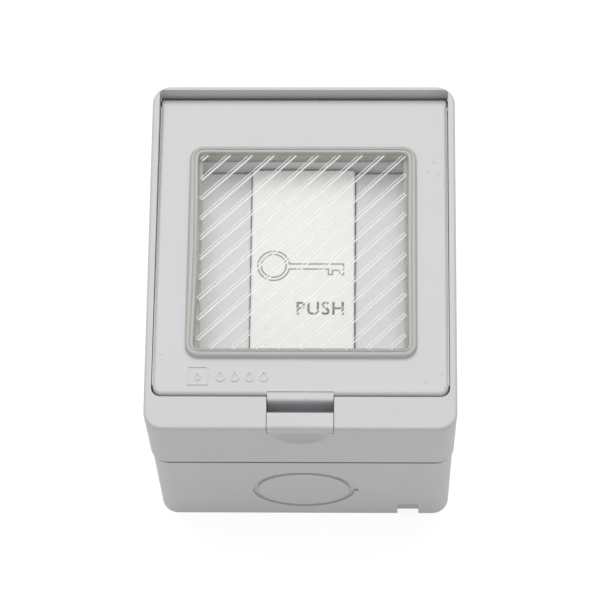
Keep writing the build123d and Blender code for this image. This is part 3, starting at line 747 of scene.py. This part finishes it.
# %% [markdown]
# Small parts of the box. A lip of dark grey foam in the seam between both halves is painted shade: it
# stands in for the seam's shadow line. A web closes the upper part of the small notch at the back edge,
# in a plastic darker than the box's, which is painted shade for the recess. The latch's leaf ends in a
# round pad, and low fins along the lid's long edges narrow its gap to the rim.

# %% Seam lip, lid fins, notch web and latch pad
SEAM_Z = 35.0 * MM
LIP_PROUD = 0.2 * MM
LIP_DEEP = 0.3 * MM
LIP_HEIGHT = 0.8 * MM
BOX_CORNER = 4.0 * MM
BOX_DRAFT = math.radians(0.5)
NEAR = 0.999
WEB_LEFT = 20.75 * MM
WEB_RIGHT = 25.45 * MM
WEB_SET_BACK = 0.4 * MM
WEB_THICK = 0.45 * MM
WEB_LOW = 1.9 * MM
WEB_HIGH = 6.25 * MM
WEB_ROUND = 0.9 * MM
PAD_HALF_X = 6.98 * MM
PAD_BACK = -31.65 * MM
PAD_FRONT = -33.65 * MM
PAD_LOW = 54.2 * MM
PAD_HIGH = 56.0 * MM
PAD_ROUND = 0.6 * MM
FIN_IN = 30.6 * MM
FIN_OUT = 31.36 * MM
FIN_LOW = -30.0 * MM
FIN_HIGH = 36.4 * MM
FIN_TOP = -0.5 * MM
FIN_UNDER = -1.6 * MM


def make_lip():
    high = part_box("back_box")[1]
    bm = bmesh.new()
    ring = rounded_face(bm, high[0] + LIP_PROUD, high[1] + LIP_PROUD, BOX_CORNER)
    width = LIP_PROUD + LIP_DEEP
    bmesh.ops.inset_individual(bm, faces=ring, thickness=width, use_even_offset=True)
    bmesh.ops.delete(bm, geom=ring, context="FACES")
    raise_faces(bm, bm.faces[:], -LIP_HEIGHT)
    place = Matrix.Translation((0, 0, SEAM_Z))
    # The dark lip is painted shade for the shadow line in the seam.
    return keep("seam_lip_painted_shade", bm, place, [lip_foam_painted_shade], "housing")


def bar(bm, low, high):
    """A plain box between two corners."""
    made = bmesh.ops.create_cube(bm, size=1.0)["verts"]
    bmesh.ops.scale(bm, vec=Vector(high) - Vector(low), verts=made)
    bmesh.ops.translate(bm, vec=(Vector(high) + Vector(low)) / 2, verts=made)
    return made


def soften(bm, edges, size):
    bmesh.ops.bevel(
        bm, geom=edges, offset=size, offset_type="OFFSET", affect="EDGES",
        segments=6, profile=0.5, material=-1,
    )


def make_web():
    bm = bmesh.new()
    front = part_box("back_box")[0][1] + SEAM_Z * math.tan(BOX_DRAFT) + WEB_SET_BACK
    bar(bm, (WEB_LEFT, front, WEB_LOW), (WEB_RIGHT, front + WEB_THICK, WEB_HIGH))
    upper = [e for e in bm.edges if all(v.co.z > WEB_HIGH * NEAR for v in e.verts)]
    corners = [e for e in upper if abs(e.verts[0].co.y - e.verts[1].co.y) > WEB_THICK / 2]
    soften(bm, corners, WEB_ROUND)
    # Its darker plastic is painted shade for the notch's recess.
    return keep("notch_web", bm, Matrix(), [web_plastic_painted_shade], "housing")


def make_pad():
    bm = bmesh.new()
    bar(bm, (-PAD_HALF_X, PAD_FRONT, PAD_LOW), (PAD_HALF_X, PAD_BACK, PAD_HIGH))
    front = [e for e in bm.edges if all(v.co.z > PAD_HIGH * NEAR for v in e.verts)]
    front = [e for e in front if all(v.co.y < PAD_FRONT * NEAR for v in e.verts)]
    soften(bm, front, PAD_ROUND)
    return keep("latch_pad", bm, Matrix(), [lid_plastic], "lid")


def make_fins():
    """A low fin along each long edge of the lid."""
    bm = bmesh.new()
    low = (FIN_IN, FIN_LOW, FIN_UNDER)
    high = (FIN_OUT, FIN_HIGH, FIN_TOP)
    bar(bm, low, high)
    bar(bm, (-high[0], low[1], low[2]), (-low[0], high[1], high[2]))
    return keep("lid_fins", bm, on_lid, [lid_plastic], "lid")


make_lip()
make_fins()
make_web()
make_pad()

# %% [markdown]
# Stage. The part lies on a plain white floor under a large soft lamp, as on a product table. The floor
# looks white to the camera by its own glow, and still takes a faint shadow. The lamp stands beyond the
# upper edge, so the lower wall of the box stays darker than its front, and a weak lamp fills that side.

# %% Floor, world and lamps
FLOOR_HALF = 3.0
FLOOR_GLOW = 0.86
FLOOR_PAINT = 0.3
SKY = 0.41
LAMP_POWER = 4.65
LAMP_SIZE = 0.8
LAMP_PLACE = Vector((-0.04, 0.34, 0.85))
FILL_POWER = 0.3
FILL_PLACE = Vector((0.12, -0.75, 0.45))


def make_floor():
    bm = bmesh.new()
    bmesh.ops.create_grid(bm, x_segments=1, y_segments=1, size=FLOOR_HALF)
    mesh = bpy.data.meshes.new("floor")
    bm.to_mesh(mesh)
    bm.free()
    recipe = Recipe("floor_white")
    paper = recipe.noise(40, 2.0)
    tone = recipe.mix(paper, (0.78, 0.78, 0.78), (0.8, 0.8, 0.8))
    plain = recipe.node("ShaderNodeBsdfDiffuse", {}, {"Color": tone})["BSDF"]
    paint = (FLOOR_PAINT,) * 3 + (1,)
    seen = recipe.node("ShaderNodeBsdfDiffuse", {}, {"Color": paint})["BSDF"]
    glow = recipe.node("ShaderNodeEmission", {}, {"Color": (1, 1, 1, 1), "Strength": FLOOR_GLOW})
    lit = recipe.node("ShaderNodeAddShader", {}, {0: seen, 1: glow["Emission"]})["Shader"]
    path = recipe.node("ShaderNodeLightPath")
    direct = path["Is Camera Ray"] + path["Is Glossy Ray"] + path["Is Transmission Ray"]
    both = recipe.node("ShaderNodeMixShader", {}, {0: direct, 1: plain, 2: lit})["Shader"]
    recipe.node("ShaderNodeOutputMaterial", {}, {"Surface": both})
    mesh.materials.append(recipe.material)
    floor = bpy.data.objects.new("floor", mesh)
    bpy.context.scene.collection.objects.link(floor)
    return floor


def make_world():
    world = bpy.data.worlds.new("studio")
    world.use_nodes = True
    tree = world.node_tree
    tree.nodes.clear()
    path = tree.nodes.new("ShaderNodeLightPath")
    soft = tree.nodes.new("ShaderNodeBackground")
    soft.inputs["Strength"].default_value = SKY
    white = tree.nodes.new("ShaderNodeBackground")
    white.inputs["Color"].default_value = (1, 1, 1, 1)
    soft.inputs["Color"].default_value = (1, 1, 1, 1)
    mixed = tree.nodes.new("ShaderNodeMixShader")
    out = tree.nodes.new("ShaderNodeOutputWorld")
    tree.links.new(path.outputs["Is Camera Ray"], mixed.inputs[0])
    tree.links.new(soft.outputs[0], mixed.inputs[1])
    tree.links.new(white.outputs[0], mixed.inputs[2])
    tree.links.new(mixed.outputs[0], out.inputs["Surface"])
    bpy.context.scene.world = world


def make_lamp(name, place, power, size):
    data = bpy.data.lights.new(name, "AREA")
    data.shape = "DISK"
    data.size = size
    data.energy = power
    lamp = bpy.data.objects.new(name, data)
    bpy.context.scene.collection.objects.link(lamp)
    lamp.location = place
    aim = Vector((0, 0, 0.05)) - place
    lamp.rotation_euler = aim.to_track_quat("-Z", "Y").to_euler()
    return lamp


make_floor()
make_world()
make_lamp("soft_lamp", LAMP_PLACE, LAMP_POWER, LAMP_SIZE)
make_lamp("fill_lamp", FILL_PLACE, FILL_POWER, LAMP_SIZE)
print("stage made")
